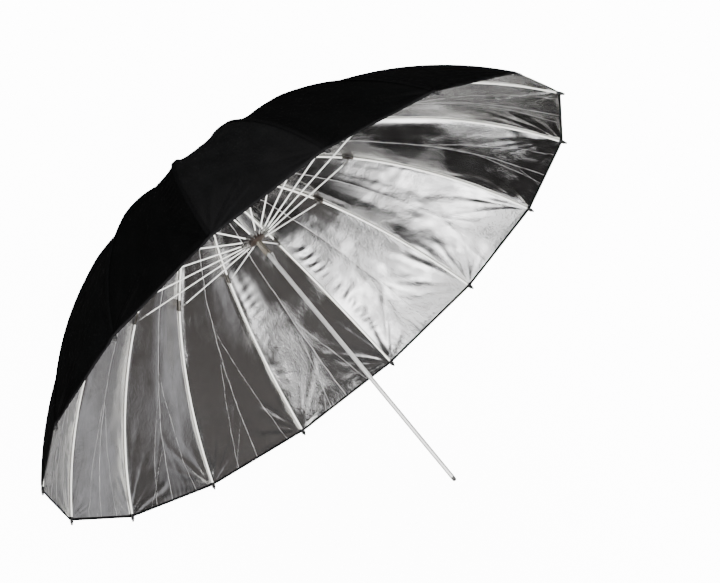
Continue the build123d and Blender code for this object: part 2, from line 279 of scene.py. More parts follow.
def make_drawn_grain_group():
    """Fine lines drawn along a part: the pattern is stretched along one axis."""
    inputs = [
        ("Place", "NodeSocketVector", None),
        ("Across", "NodeSocketFloat", 1500.0),
        ("Lengthwise", "NodeSocketFloat", 12.0),
    ]
    outputs = [("Lines", "NodeSocketFloat"), ("Patches", "NodeSocketFloat")]
    tree = new_tree("drawn_grain", inputs, outputs)
    nodes = Nodes(tree)
    start = nodes.add("NodeGroupInput").outputs
    links = {0: start["Across"], 1: start["Lengthwise"], 2: start["Across"]}
    spread = nodes.add("ShaderNodeCombineXYZ", links)
    links = {0: start["Place"], 1: spread.outputs[0]}
    scaled = nodes.add("ShaderNodeVectorMath", links, operation="MULTIPLY")
    lines = nodes.noise(scaled.outputs[0], 1.0, 4.0, 0.6)
    patches = nodes.noise(start["Place"], 38.0, 4.0, 0.6)
    nodes.add("NodeGroupOutput", {"Lines": lines, "Patches": patches})
    return tree


def make_wear_group():
    """Rubbed spots and dust: two masks that change over the surface."""
    inputs = [("Place", "NodeSocketVector", None), ("Amount", "NodeSocketFloat", 0.5)]
    outputs = [("Rubbed", "NodeSocketFloat"), ("Dust", "NodeSocketFloat")]
    tree = new_tree("wear_and_dust", inputs, outputs)
    nodes = Nodes(tree)
    start = nodes.add("NodeGroupInput").outputs
    spots = nodes.noise(start["Place"], 420.0, 5.0, 0.65)
    cloudy = nodes.noise(start["Place"], 24.0, 5.0, 0.6)
    rubbed = nodes.times(nodes.ramp(spots, 0.56, 0.72), start["Amount"])
    dust = nodes.times(nodes.ramp(cloudy, 0.42, 0.72), start["Amount"])
    nodes.add("NodeGroupOutput", {"Rubbed": rubbed, "Dust": dust})
    return tree


weave_group = make_weave_group()
grain_group = make_drawn_grain_group()
wear_group = make_wear_group()


def start_material(name, roughness=0.5, metallic=0.0):
    material = bpy.data.materials.new(name)
    material.use_nodes = True
    shader = material.node_tree.nodes["Principled BSDF"]
    shader.inputs["Roughness"].default_value = roughness
    shader.inputs["Metallic"].default_value = metallic
    return material, Nodes(material.node_tree), shader


def place_of(nodes):
    return nodes.add("ShaderNodeTexCoord").outputs["Object"]


def use_group(nodes, group, links):
    return nodes.add("ShaderNodeGroup", links, node_tree=group).outputs


def set_bump(nodes, shader, height, strength, distance):
    links = {"Height": height, "Strength": strength, "Distance": distance}
    bump = nodes.add("ShaderNodeBump", links)
    nodes.feed(shader, "Normal", bump.outputs[0])


def metal(name, colour, dark, roughness, across, wear, lengthwise=12.0, metallic=1.0):
    """Drawn or turned metal with fine lines along the part, cloudy patches and rubbed spots."""
    material, nodes, shader = start_material(name, roughness, metallic)
    place = place_of(nodes)
    grain = use_group(nodes, grain_group, {"Place": place, "Across": across, "Lengthwise": lengthwise})
    worn = use_group(nodes, wear_group, {"Place": place, "Amount": wear})
    tone = nodes.mix(nodes.ramp(grain["Patches"], 0.35, 0.7), colour, dark)
    tone = nodes.mix(worn["Rubbed"], tone, (0.10, 0.09, 0.08, 1.0))
    nodes.feed(shader, "Base Color", tone)
    rough = nodes.ramp(grain["Lines"], 0.3, 0.7, roughness * 0.7, roughness * 1.35)
    rough = nodes.plus(rough, nodes.times(worn["Dust"], 0.12))
    nodes.feed(shader, "Roughness", rough)
    set_bump(nodes, shader, grain["Lines"], 0.12, 0.0002)
    return material


def plastic(name, colour, light, roughness, wear):
    """Moulded plastic: fine pebbled skin, faint flow marks, and dust in the hollows."""
    material, nodes, shader = start_material(name, roughness)
    place = place_of(nodes)
    worn = use_group(nodes, wear_group, {"Place": place, "Amount": wear})
    pebble = nodes.noise(place, 2600.0, 2.0)
    flow = nodes.noise(nodes.stretch(place, (60.0, 14.0, 60.0)), 1.0, 3.0)
    tone = nodes.mix(nodes.ramp(flow, 0.35, 0.7), colour, light)
    tone = nodes.mix(nodes.times(worn["Dust"], 0.35), tone, (0.30, 0.28, 0.25, 1.0))
    nodes.feed(shader, "Base Color", tone)
    rough = nodes.ramp(pebble, 0.3, 0.7, roughness * 0.85, roughness * 1.2)
    nodes.feed(shader, "Roughness", rough)
    set_bump(nodes, shader, pebble, 0.25, 0.0002)
    return material


def fibreglass(name, colour, warm):
    """White pultruded rod: glass fibres along it, a clear resin skin, and a few scuffs."""
    material, nodes, shader = start_material(name, 0.32)
    shader.inputs["Coat Roughness"].default_value = 0.12
    shader.inputs["Coat Weight"].default_value = 0.35
    place = place_of(nodes)
    grain = use_group(nodes, grain_group, {"Place": place, "Across": 900.0, "Lengthwise": 40.0})
    worn = use_group(nodes, wear_group, {"Place": place, "Amount": 0.5})
    tone = nodes.mix(nodes.ramp(grain["Patches"], 0.35, 0.75), colour, warm)
    tone = nodes.mix(nodes.times(worn["Rubbed"], 0.6), tone, (0.45, 0.43, 0.40, 1.0))
    nodes.feed(shader, "Base Color", tone)
    nodes.feed(shader, "Roughness", nodes.ramp(grain["Lines"], 0.3, 0.7, 0.24, 0.42))
    set_bump(nodes, shader, grain["Lines"], 0.2, 0.0002)
    return material


def cloth_of(nodes):
    """Place on the cut cloth in metres: across the gore, and from the crown to the rim."""
    return nodes.add("ShaderNodeUVMap", uv_map="cloth").outputs[0]


def gore_painted_light(nodes, cloth):
    """A value for each gore, for painted light: some gores are painted paler than others, as if more light
    fell on them.
    """
    across = nodes.add("ShaderNodeSeparateXYZ", {0: cloth}).outputs[0]
    gore = nodes.math("ROUND", across)
    swing = nodes.math("SINE", nodes.plus(nodes.times(gore, 2.4), 2.137))
    return nodes.math("POWER", nodes.ramp(swing, -1.0, 1.0), 2.2)


def nylon(name):
    """Matt black nylon taffeta: weave, a soft nap, and a tone in each gore that is painted light, paler on
    some gores than on others.
    """
    material, nodes, shader = start_material(name, 0.62)
    shader.inputs["Sheen Weight"].default_value = 0.0006
    shader.inputs["Sheen Roughness"].default_value = 0.4
    shader.inputs["Specular IOR Level"].default_value = 0.03
    cloth = cloth_of(nodes)
    weave = use_group(nodes, weave_group, {"Cloth": cloth, "Threads per metre": 2400.0})
    crumple = nodes.noise(nodes.stretch(cloth, (26.0, 9.0, 1.0)), 1.0, 5.0, 0.6)
    darkest, palest = (0.00022, 0.00022, 0.00024, 1.0), (0.0016, 0.0016, 0.0017, 1.0)
    # painted light: some gores get a paler base colour than others
    tone = nodes.mix(gore_painted_light(nodes, cloth), darkest, palest)
    shade = nodes.times(weave["Shade"], nodes.ramp(crumple, 0.3, 0.75, 0.8, 1.35))
    shaded = nodes.add("ShaderNodeVectorMath", {0: tone, "Scale": shade}, operation="SCALE")
    nodes.feed(shader, "Base Color", shaded.outputs[0])
    nodes.feed(shader, "Roughness", nodes.ramp(crumple, 0.3, 0.75, 0.50, 0.68))
    height = nodes.plus(nodes.times(crumple, 4.0), weave["Height"])
    set_bump(nodes, shader, height, 0.35, 0.0002)
    return material


def fold_lines(nodes, cloth):
    """Mask of the worn fold lines: one down the middle of each gore, with forks towards the rim."""
    parts = nodes.add("ShaderNodeSeparateXYZ", {0: cloth}).outputs
    gore = nodes.math("ROUND", parts[0])
    down = parts[1]
    across = nodes.minus(parts[0], gore)
    luck = nodes.add("ShaderNodeTexWhiteNoise", {"W": gore}, noise_dimensions="1D").outputs["Color"]
    chances = nodes.add("ShaderNodeSeparateXYZ", {0: luck}).outputs
    mask = None
    for spread, chance, first_share, strength in fold_forks:
        wander = nodes.noise(nodes.stretch(cloth, (0.5, 9.0 + 5 * spread, 1.0)), 1.0, 3.0)
        wander = nodes.times(nodes.minus(wander, 0.5), fold_wander * 2)
        fork_at = nodes.ramp(chances[chance], 0.0, 1.0, rim_at * first_share, rim_at * (first_share + 0.18))
        past = nodes.math("MAXIMUM", nodes.minus(down, fork_at), 0.0)
        middle = nodes.plus(wander, nodes.times(past, spread))
        offset = nodes.math("ABSOLUTE", nodes.minus(across, middle))
        line = nodes.times(nodes.ramp(offset, 0.0002, 0.0013, 1.0, 0.0), strength)
        if spread:
            line = nodes.times(line, nodes.ramp(past, 0.0, 0.03))
        mask = line if mask is None else nodes.math("MAXIMUM", mask, line)
    rubbed = nodes.ramp(nodes.noise(cloth, 40.0, 3.0), 0.35, 0.6, 0.35, 1.0)
    mask = nodes.times(mask, rubbed)
    return nodes.times(mask, nodes.ramp(down, rim_at * 0.12, rim_at * 0.25))


def silver_foil(name):
    """Silver foil cloth: bright metal skin with crinkled patches, worn fold lines and drawn streaks."""
    material, nodes, shader = start_material(name, 0.2, 1.0)
    cloth = cloth_of(nodes)
    place = place_of(nodes)
    streaks = nodes.noise(nodes.stretch(cloth, (170.0, 4.0, 1.0)), 1.0, 4.0, 0.6)
    mottle = nodes.noise(place, 26.0, 6.0, 0.62)
    crinkle = nodes.noise(place, 150.0, 6.0, 0.72)
    creases = nodes.math("ABSOLUTE", nodes.minus(nodes.noise(place, 62.0, 5.0, 0.6), 0.5))
    creases = nodes.ramp(creases, 0.0, 0.05, 1.0, 0.0)
    patches = nodes.ramp(nodes.noise(place, 6.0, 3.0), 0.42, 0.66, 0.05, 1.0)
    folds = fold_lines(nodes, cloth)
    tone = nodes.mix(nodes.ramp(mottle, 0.35, 0.7), (0.86, 0.855, 0.85, 1.0), (0.74, 0.73, 0.725, 1.0))
    tone = nodes.mix(nodes.ramp(streaks, 0.55, 0.75, 0.0, 0.25), tone, (0.62, 0.60, 0.585, 1.0))
    nodes.feed(shader, "Base Color", tone)
    rough = nodes.ramp(mottle, 0.3, 0.7, 0.13, 0.22)
    rough = nodes.plus(rough, nodes.ramp(streaks, 0.5, 0.75, 0.0, 0.06))
    nodes.feed(shader, "Roughness", nodes.plus(rough, nodes.times(folds, 0.3)))
    nodes.feed(shader, "Metallic", nodes.ramp(folds, 0.0, 1.0, 1.0, 0.6))
    rough_skin = nodes.plus(nodes.times(crinkle, 1.5), nodes.times(creases, 0.12))
    height = nodes.times(rough_skin, patches)
    height = nodes.plus(height, nodes.times(nodes.times(mottle, patches), 0.9))
    height = nodes.plus(height, nodes.times(streaks, 0.05))
    height = nodes.plus(height, nodes.times(folds, 0.12))
    set_bump(nodes, shader, height, 0.6, 0.0022)
    return material


def hem_tape(name):
    """Black twill tape folded over the edge of the cloth, with painted shade in the hollows of the twill."""
    material, nodes, shader = start_material(name, 0.7)
    shader.inputs["Specular IOR Level"].default_value = 0.06
    cloth = cloth_of(nodes)
    parts = nodes.add("ShaderNodeSeparateXYZ", {0: cloth})
    slanted = nodes.plus(parts.outputs[0], parts.outputs[1])
    twill = nodes.math("SINE", nodes.times(slanted, 2 * pi * 900.0))
    fuzz = nodes.noise(cloth, 700.0, 3.0)
    # painted shade: the twill's hollows are painted darker than its ridges, following the same wave as the
    # bump
    shaded_hollow, ridge = (0.0016, 0.0016, 0.0017, 1.0), (0.0048, 0.0048, 0.0050, 1.0)
    tone = nodes.mix(nodes.ramp(twill, -1.0, 1.0), shaded_hollow, ridge)
    nodes.feed(shader, "Base Color", tone)
    nodes.feed(shader, "Roughness", nodes.ramp(fuzz, 0.3, 0.7, 0.6, 0.8))
    set_bump(nodes, shader, nodes.plus(twill, fuzz), 0.3, 0.0002)
    return material


def thread(name, colour, fleck=(0.012, 0.012, 0.012, 1.0), gloss=0.5):
    """Twisted thread or narrow tape: a dark colour with paler flecks."""
    material, nodes, shader = start_material(name, 0.6)
    shader.inputs["Specular IOR Level"].default_value = gloss
    place = place_of(nodes)
    twist = nodes.noise(place, 1800.0, 2.0)
    tone = nodes.mix(nodes.ramp(twist, 0.3, 0.7, 0.0, 0.4), colour, fleck)
    nodes.feed(shader, "Base Color", tone)
    set_bump(nodes, shader, twist, 0.3, 0.0002)
    return material


finishes = {
    "chrome": metal(
        "polished_shaft_steel", (0.62, 0.62, 0.61, 1.0), (0.54, 0.54, 0.53, 1.0), 0.22, 2200.0, 0.25,
        metallic=0.6),
    "fitting": metal(
        "drawn_fitting_steel", (0.62, 0.61, 0.59, 1.0), (0.48, 0.47, 0.45, 1.0), 0.24, 1600.0, 0.5),
    "dark_steel": metal(
        "blackened_sleeve_steel", (0.24, 0.225, 0.20, 1.0), (0.13, 0.12, 0.105, 1.0), 0.34, 1400.0, 0.4),
    "runner_steel": metal(
        "dull_runner_steel", (0.44, 0.41, 0.35, 1.0), (0.30, 0.27, 0.22, 1.0), 0.24, 1500.0, 0.5),
    "black": plastic(
        "black_moulded_plastic", (0.006, 0.006, 0.0065, 1.0), (0.011, 0.011, 0.0115, 1.0), 0.40, 0.25),
    "brown": plastic(
        "brown_moulded_plastic", (0.020, 0.013, 0.010, 1.0), (0.040, 0.028, 0.021, 1.0), 0.30, 0.25),
    "rod": fibreglass("white_fibreglass_rod", (0.90, 0.90, 0.86, 1.0), (0.84, 0.83, 0.76, 1.0)),
    "stretcher": fibreglass("white_stretcher_rod", (0.89, 0.89, 0.86, 1.0), (0.83, 0.82, 0.78, 1.0)),
    "nylon": nylon("black_nylon_taffeta"),
    "silver": silver_foil("silver_foil_cloth"),
    "tape": hem_tape("black_hem_tape"),
    "black_thread": thread("black_sewing_thread", (0.004, 0.004, 0.0045, 1.0)),
    "seam_tape": thread(
        "black_seam_tape", (0.0006, 0.0006, 0.0007, 1.0), fleck=(0.0020, 0.0020, 0.0021, 1.0), gloss=0.03),
}


# ---- solid shapes ----
class Shape:
    """Points and faces of one piece in a rib's profile frame."""

    def __init__(self):
        self.points = []
        self.faces = []
        self.kinds = []
        self.finishes = []

    def loft(self, rings, finish):
        """Closed skin through rings of points, with flat ends."""
        if finish not in self.finishes:
            self.finishes.append(finish)
        base, sides = len(self.points), len(rings[0])
        for ring in rings:
            self.points += [tuple(point) for point in ring]
        faces = [tuple(range(base, base + sides))]
        for row in range(len(rings) - 1):
            for side in range(sides):
                first, second = base + row * sides + side, base + row * sides + (side + 1) % sides
                faces.append((first, second, second + sides, first + sides))
        last = base + (len(rings) - 1) * sides
        faces.append(tuple(range(last, last + sides)))
        self.faces += faces
        self.kinds += [self.finishes.index(finish)] * len(faces)

    def lathe(self, start, direction, outline, finish, sides=20):
        """Turned part about a line in the profile plane: outline is (distance, radius)."""
        lean = np.array([direction[0], direction[1], 0.0])
        across = np.cross(lean, (0.0, 0.0, 1.0))
        origin = np.array([start[0], start[1], 0.0])
        turns = [2 * pi * side / sides for side in range(sides)]
        spokes = [across * cos(turn) + np.array([0.0, 0.0, sin(turn)]) for turn in turns]
        self.loft([[origin + lean * step + spoke * radius for spoke in spokes]
                   for step, radius in outline], finish)

    def pin(self, centre, outline, finish, sides=20):
        """Turned part about a line along z: outline is (z, radius)."""
        turns = [2 * pi * side / sides for side in range(sides)]
        self.loft([[(centre[0] + cos(turn) * radius, centre[1] + sin(turn) * radius, z) for turn in turns]
                   for z, radius in outline], finish)

    def ring(self, centre, bore, radius, half_width, finish, sides=24):
        """Flat eye about a line along z, with eased edges."""
        ease = min(0.0003, half_width / 3)
        section = [
            (bore, -half_width + ease), (bore + ease, -half_width), (radius - ease, -half_width),
            (radius, -half_width + ease), (radius, half_width - ease), (radius - ease, half_width),
            (bore + ease, half_width), (bore, half_width - ease),
        ]
        if finish not in self.finishes:
            self.finishes.append(finish)
        base, count = len(self.points), len(section)
        for side in range(sides):
            turn = 2 * pi * side / sides
            for reach, z in section:
                self.points.append((centre[0] + cos(turn) * reach, centre[1] + sin(turn) * reach, z))
        for side in range(sides):
            for row in range(count):
                first, second = base + side * count, base + (side + 1) % sides * count
                upper = (row + 1) % count
                self.faces.append((first + row, second + row, second + upper, first + upper))
                self.kinds.append(self.finishes.index(finish))

    def bar(self, start, end, half_breadth, low, high, finish):
        """Flat bar with rounded ends in the profile plane, from z low to z high."""
        lean = (end - start) / hypot(*(end - start))
        side = np.array([-lean[1], lean[0]])
        ease = min(0.0003, (high - low) / 3)

        def outline(radius, z):
            turns = np.linspace(pi / 2, 3 * pi / 2, 9)
            first = [start + (lean * cos(turn) + side * sin(turn)) * radius for turn in turns]
            second = [end - (lean * cos(turn) + side * sin(turn)) * radius for turn in turns]
            return [(point[0], point[1], z) for point in first + second]

        self.loft([outline(half_breadth - ease, low), outline(half_breadth, low + ease),
                   outline(half_breadth, high - ease), outline(half_breadth - ease, high)], finish)

    def pocket(self, start, lean, up):
        """Folded tape sewn round a rib's tip, flatter than the cap and open at its end."""
        lean, up, origin = (np.array([*pair, 0.0]) for pair in (lean, up, start))
        side = np.array([0.0, 0.0, 1.0])
        turns = np.linspace(0, 2 * pi, 24, endpoint=False)
        rings = []
        for step, half_width, half_height in pocket_sections:
            middle = origin + lean * step
            rings.append([middle + side * half_width * cos(turn) + up * half_height * sin(turn)
                          for turn in turns])
        self.loft(rings, "black_thread")


def rib_turn(index):
    """Matrix from rib profile frame to the row frame."""
    turn = index * pitch
    columns = [(cos(turn), 0, sin(turn)), (0, 1, 0), (-sin(turn), 0, cos(turn))]
    matrix = Matrix(columns).transposed().to_4x4()
    matrix.translation = (0, crown_y, 0)
    return matrix


def place_in_scene(thing):
    bpy.context.scene.collection.objects.link(thing)
    return thing


def link(name, mesh, finish_names):
    for finish in finish_names:
        mesh.materials.append(finishes[finish])
    return place_in_scene(bpy.data.objects.new(name, mesh))


def make_piece(name, shape, index, body, nodes, sharp=38):
    mesh = bpy.data.meshes.new(name)
    mesh.from_pydata(shape.points, [], shape.faces)
    mesh.polygons.foreach_set("material_index", shape.kinds)
    mesh.transform(rib_turn(index))
    work = bmesh.new()
    work.from_mesh(mesh)
    bmesh.ops.recalc_face_normals(work, faces=work.faces)
    work.to_mesh(mesh)
    work.free()
    mesh.shade_smooth()
    mesh.set_sharp_from_angle(angle=radians(sharp))
    piece = link(name, mesh, shape.finishes)
    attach(piece, body)
    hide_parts(*nodes)


# ---- rods of the ribs: one rule for both halves, bent to an arc ----
def end_geometry_tree(nodes, geometry, material):
    """Last nodes of a geometry tree: real geometry in one material."""
    whole = nodes.add("GeometryNodeRealizeInstances", {0: geometry})
    painted = nodes.add("GeometryNodeSetMaterial", {"Geometry": whole.outputs[0], "Material": material})
    nodes.add("NodeGroupOutput", {0: painted.outputs[0]})


def make_rod_tree():
    """Round rod along an arc, from its radius, its turn and its thickness."""
    inputs = [
        ("Arc radius", "NodeSocketFloat", 1.0),
        ("First angle", "NodeSocketFloat", 0.0),
        ("Sweep", "NodeSocketFloat", 0.5),
        ("Rod radius", "NodeSocketFloat", rod_radius),
        ("Steps", "NodeSocketInt", 48),
        ("Material", "NodeSocketMaterial", None),
    ]
    tree = new_tree("bent_rod", inputs, [("Geometry", "NodeSocketGeometry")], "GeometryNodeTree")
    nodes = Nodes(tree)
    start = nodes.add("NodeGroupInput").outputs
    arc = nodes.add("GeometryNodeCurveArc", {
        "Resolution": start["Steps"], "Radius": start["Arc radius"],
        "Start Angle": start["First angle"], "Sweep Angle": start["Sweep"]}, mode="RADIUS")
    section = nodes.add("GeometryNodeCurvePrimitiveCircle", {
        "Resolution": 16, "Radius": start["Rod radius"]}, mode="RADIUS")
    rod = nodes.add("GeometryNodeCurveToMesh", {
        "Curve": arc.outputs[0], "Profile Curve": section.outputs[0], "Fill Caps": True})
    end_geometry_tree(nodes, rod.outputs[0], start["Material"])
    return tree


def grow(tree, values, source=None):
    """Plain mesh made by a geometry node tree, with its named inputs set first."""
    holder = place_in_scene(bpy.data.objects.new("holder", source or bpy.data.meshes.new("holder")))
    modifier = holder.modifiers.new("grow", "NODES")
    modifier.node_group = tree
    for item in tree.interface.items_tree:
        if item.item_type == "SOCKET" and item.in_out == "INPUT" and item.name in values:
            modifier[item.identifier] = values[item.name]
    bpy.context.view_layer.update()
    grown = holder.evaluated_get(bpy.context.evaluated_depsgraph_get())
    mesh = bpy.data.meshes.new_from_object(grown)
    bpy.data.objects.remove(holder)
    return mesh


rod_tree = make_rod_tree()


def add_rod(shape, centre, arc_radius, first_slope, last_slope, finish):
    """Bent rod between two slopes of an arc, added to a shape."""
    mesh = grow(rod_tree, {
        "Arc radius": arc_radius,
        "First angle": radians(90 - first_slope),
        "Sweep": radians(first_slope - last_slope),
        "Rod radius": rod_radius,
        "Steps": 48,
        "Material": finishes[finish],
    })
    if finish not in shape.finishes:
        shape.finishes.append(finish)
    base = len(shape.points)
    shape.points += [(v.co.x + centre[0], v.co.y + centre[1], v.co.z) for v in mesh.vertices]
    shape.faces += [tuple(base + corner for corner in face.vertices) for face in mesh.polygons]
    shape.kinds += [shape.finishes.index(finish)] * len(mesh.polygons)
    bpy.data.meshes.remove(mesh)


def socket_outline(first, last, radius, crimps):
    """Thin tube crimped on a rod, with rolled lips at both ends."""
    lip = radius * 0.18
    waist = radius - lip * 0.6
    outline = [(first, radius * 0.55), (first, radius - lip), (first + lip, radius)]
    outline += [(first + 3 * lip, radius), (first + 4 * lip, waist)]
    for crimp in crimps:
        outline += [(crimp - 2 * lip, waist), (crimp - lip, waist - lip), (crimp + lip, waist - lip),
                    (crimp + 2 * lip, waist)]
    outline += [(last - 4 * lip, waist), (last - 3 * lip, radius), (last - lip, radius), (last, radius - lip)]
    return outline + [(last, radius * 0.55)]


def rib_shape():
    """Rod from the crown to the sleeve, with its crown eye, and the sleeve with lug and rivet."""
    shape = Shape()
    first_slope = crown_slope + np.degrees((rib_socket_end - rod_in_rib_socket) / inner_arc_radius)
    add_rod(shape, inner_arc_centre, inner_arc_radius, first_slope, sleeve_slope, "rod")
    lean = along(crown_slope)
    shape.ring(crown_pivot, eye_bore, eye_radius, rib_eye_width / 2, "fitting")
    shape.bar(crown_pivot + lean * tab_inset, crown_pivot + lean * (eye_reach + tab_overlap),
              eye_radius * 0.8, -rib_eye_width / 2, rib_eye_width / 2, "fitting")
    outline = socket_outline(eye_reach, rib_socket_end, rib_socket_radius, rib_socket_crimps)
    shape.lathe(crown_pivot, lean, outline, "fitting")
    lean = along(sleeve_slope)
    outline = socket_outline(0.0, 2 * sleeve_half_length, sleeve_radius, sleeve_crimps)
    shape.lathe(sleeve_start, lean, outline, "dark_steel", 24)
    shape.bar(joint_pivot, sleeve_centre - above(sleeve_slope) * tab_overlap, lug_tab_half_breadth,
              -lug_half_width, lug_half_width, "dark_steel")
    shank, head = rivet_half_length * 0.72, rivet_radius * 1.7
    half = [(shank, rivet_radius), (shank, head * 0.9), (shank * 1.08, head),
            (rivet_half_length * 0.93, head * 0.8), (rivet_half_length, head * 0.45)]
    shape.pin(joint_pivot, [(-z, radius) for z, radius in reversed(half)] + half, "fitting")
    return shape


def rib_end_shape():
    """Outer half of a rib, from its sleeve to the tip cap with the sewing thread round it."""
    shape = Shape()
    add_rod(shape, outer_arc_centre, outer_arc_radius, outer_slope, tip_slope, "rod")
    dome = [(-rod_radius * cos(turn), max(rod_radius * sin(turn), 0.0002))
            for turn in np.linspace(0.1, pi / 2, 6)]
    shape.lathe(flex_point, along(outer_slope), dome + [(rod_radius, rod_radius)], "rod", 16)
    low_radius = tip_cap_radius - cap_ease
    outline = [(0.0, 0.0019), (0.0, low_radius), (0.0004, tip_cap_radius)]
    for step in range(bead_count):
        middle = first_bead + step * bead_radius * 1.6
        outline += [(middle - bead_radius * 0.7, low_radius), (middle, tip_cap_radius),
                    (middle + bead_radius * 0.7, low_radius)]
    outline += [(0.0090, tip_cap_radius - 0.0004)]
    round_start = tip_cap_length - tip_cap_radius
    for turn in np.linspace(0.15, pi / 2 - 0.12, 7):
        outline.append((round_start + tip_cap_radius * sin(turn), (tip_cap_radius - 0.0001) * cos(turn)))
    shape.lathe(rod_end, along(tip_slope), outline, "black")
    shape.pocket(rod_end, along(tip_slope), above(tip_slope))
    return shape


def stretcher_shape():
    """Thin rod from the runner to a sleeve, with an eye at the runner and a fork at the lug."""
    shape = Shape()
    lean = along(stretcher_slope)
    rod_start = fitting_length - rod_in_fitting
    rod_stop = stretcher_length - fitting_length + rod_in_fitting
    steps = np.linspace(rod_start, rod_stop, 9)
    shape.lathe(runner_pivot, lean, [(step, stretcher_radius) for step in steps], "stretcher", 14)
    shape.ring(runner_pivot, eye_bore, eye_radius, stretcher_eye_width / 2, "fitting")
    shape.bar(runner_pivot + lean * tab_inset, runner_pivot + lean * (eye_reach + tab_overlap),
              eye_radius * 0.8, -stretcher_eye_width / 2, stretcher_eye_width / 2, "fitting")
    outline = socket_outline(eye_reach, fitting_length, runner_socket_radius, runner_socket_crimps)
    shape.lathe(runner_pivot, lean, outline, "fitting")
    for side in (-1, 1):
        low, high = sorted((side * fork_gap / 2, side * fork_radius))
        shape.bar(joint_pivot, joint_pivot - lean * eye_reach, fork_radius * 0.92, low, high, "fitting")
    outline = socket_outline(stretcher_length - fitting_length, stretcher_length - fork_socket_start,
                             fork_radius, (stretcher_length - fork_crimp,))
    shape.lathe(runner_pivot, lean, outline, "fitting")
    return shape


# ---- line of the cover over a rib, and the tape along it ----
fine = np.linspace(0.0, rim_at, 3001)
fine_slope = np.radians(np.interp(fine, [0.0, sleeve_at, flex_at, rim_at],
                                  [crown_slope, sleeve_slope, outer_slope, tip_slope]))
step = fine[1]
fine_x = crown_pivot[0] + np.concatenate([[0], np.cumsum(np.cos(fine_slope[:-1])) * step])
fine_y = crown_pivot[1] - np.concatenate([[0], np.cumsum(np.sin(fine_slope[:-1])) * step])


def bump(value, centre, width):
    return np.exp(-((value - centre) / width) ** 2)


def rib_line(distance):
    """Cover over a rib: x, y and slope at this distance from the crown, clear of the fittings."""
    slope = np.interp(distance, fine, fine_slope)
    before = np.minimum(distance, 0.0)
    sleeve_middle = (sleeve_at + flex_at) / 2
    gap = (cover_gap + sleeve_lift * bump(distance, sleeve_middle, sleeve_lift_reach)
           + crown_lift * bump(distance, 0.0, crown_lift_reach))
    x = np.interp(distance, fine, fine_x) + before + np.sin(slope) * gap
    y = np.interp(distance, fine, fine_y) + np.cos(slope) * gap
    return x, y, slope


def add_seam_tape(shape, first, last):
    """Tape sewn along the seam of the cover over a rib, between two distances from the crown."""
    section = ((-1.0, 0.3), (-0.94, 1.0), (0.94, 1.0), (1.0, 0.3), (0.94, 0.0), (-0.94, 0.0))
    rings = []
    for distance in np.linspace(first, last, 48):
        x, y, slope = rib_line(distance)
        half_width = min(seam_tape_half_width, seam_tape_narrow + 0.10 * max(distance, 0.0))
        ring = []
        for across, up in section:
            height = seam_tape_lift + up * seam_tape_thickness
            ring.append((x + np.sin(slope) * height, y + np.cos(slope) * height, across * half_width))
        rings.append(ring)
    shape.loft(rings, "seam_tape")


rib, rib_end, stretcher = rib_shape(), rib_end_shape(), stretcher_shape()
add_seam_tape(rib, seam_tape_start, flex_at - seam_tape_split)
add_seam_tape(rib_end, flex_at + seam_tape_split, rim_at - binding_depth - 0.001)
for index in range(rib_count):
    number = f"{index + 1:02d}"
    make_piece(f"rib_{number}_rod", rib, index, f"rib_{number}", [f"rib_{number}"])
    make_piece(f"rib_end_{number}_rod", rib_end, index, f"rib_end_{number}", [f"rib_end_{number}"])
    make_piece(f"stretcher_{number}_rod", stretcher, index, f"stretcher_{number}",
               [f"stretcher_{number}"])


# ---- cover: one curved surface, cut on each mid-gore line and at the ribs' flex points ----
lattice_size = 64
random = np.random.RandomState(16)
lattice = random.rand(lattice_size, lattice_size, lattice_size)


def smooth_noise(points, size, seed):
    """Soft noise from -1 to 1 in space, with features of about this size."""
    scaled = points / size + seed * 7.31
    cell = np.floor(scaled).astype(int)
    part = scaled - cell
    part = part * part * part * (part * (part * 6 - 15) + 10)
    total = 0.0
    for corner in np.ndindex(2, 2, 2):
        weight = np.prod(np.where(corner, part, 1 - part), axis=-1)
        place = (cell + corner) % lattice_size
        total = total + weight * lattice[tuple(place[..., axis] for axis in range(3))]
    return 2 * total - 1


def layered_noise(points, layers):
    """Sum of noises, each given as size of its features, seed and height."""
    return sum(smooth_noise(points, size, seed) * height for size, seed, height in layers)


columns_per_gore = 56
inner_rows = 60
outer_rows = 96
# seams whose thread is pulled tight: gore, side of it (0 towards its first rib) and height of the folds
drawn_seams = (
    (13, 0, 0.0020), (12, 0, 0.0010), (2, 1, 0.0012),
    (5, 0, 0.0014), (8, 1, 0.0008), (6, 1, 0.0008),
)
# layers of noise: size of the features, seed and height
lengthwise_layers = ((0.045, 1, 0.0026), (0.016, 2, 0.0005))
small_layers = ((0.032, 4, 0.0010), (0.015, 5, 0.00028))
pucker_pitch = 0.030
pucker_from_rib = 0.032
pucker_reach = 0.015
crease_height = 0.0009
crease_half_width = 0.0045
crease_wander = 0.004
crease_fork_share = 0.80
crease_fork_angle = 20
fan_folds = 8
fan_start, fan_step, fan_scatter = 3, 11, 5  # degrees from the rib
fan_lengths = (0.05, 0.24)
fan_heights = (0.0008, 0.0032)
fan_width = 0.0036
fan_spread = 0.034
fan_clear = 0.022
gather_pitch = 0.015
gather_height = 0.0007
gather_reach = 0.028
seam_height = 0.0005
seam_reach = 0.0035
crown_flat = (0.010, 0.045)  # the cloth lies flat nearer to the crown than this

hole_at = fabric_hole / cos(pitch / 2) - crown_pivot[0]
inner_steps = hole_at + (flex_at - hole_at) * np.linspace(0, 1, inner_rows + 1) ** 0.8
outer_steps = flex_at + (rim_at - flex_at) * np.linspace(0, 1, outer_rows + 1)
rows_at = np.concatenate([inner_steps, outer_steps[1:]])
row_count = len(rows_at)
column_count = rib_count * columns_per_gore

column = np.arange(column_count)
gore_of_column = column // columns_per_gore
across_gore = 2 * (column % columns_per_gore) / columns_per_gore - 1
mid_gore_turn = (gore_of_column + 0.5) * pitch
tangent = np.tan(pitch / 2) * across_gore

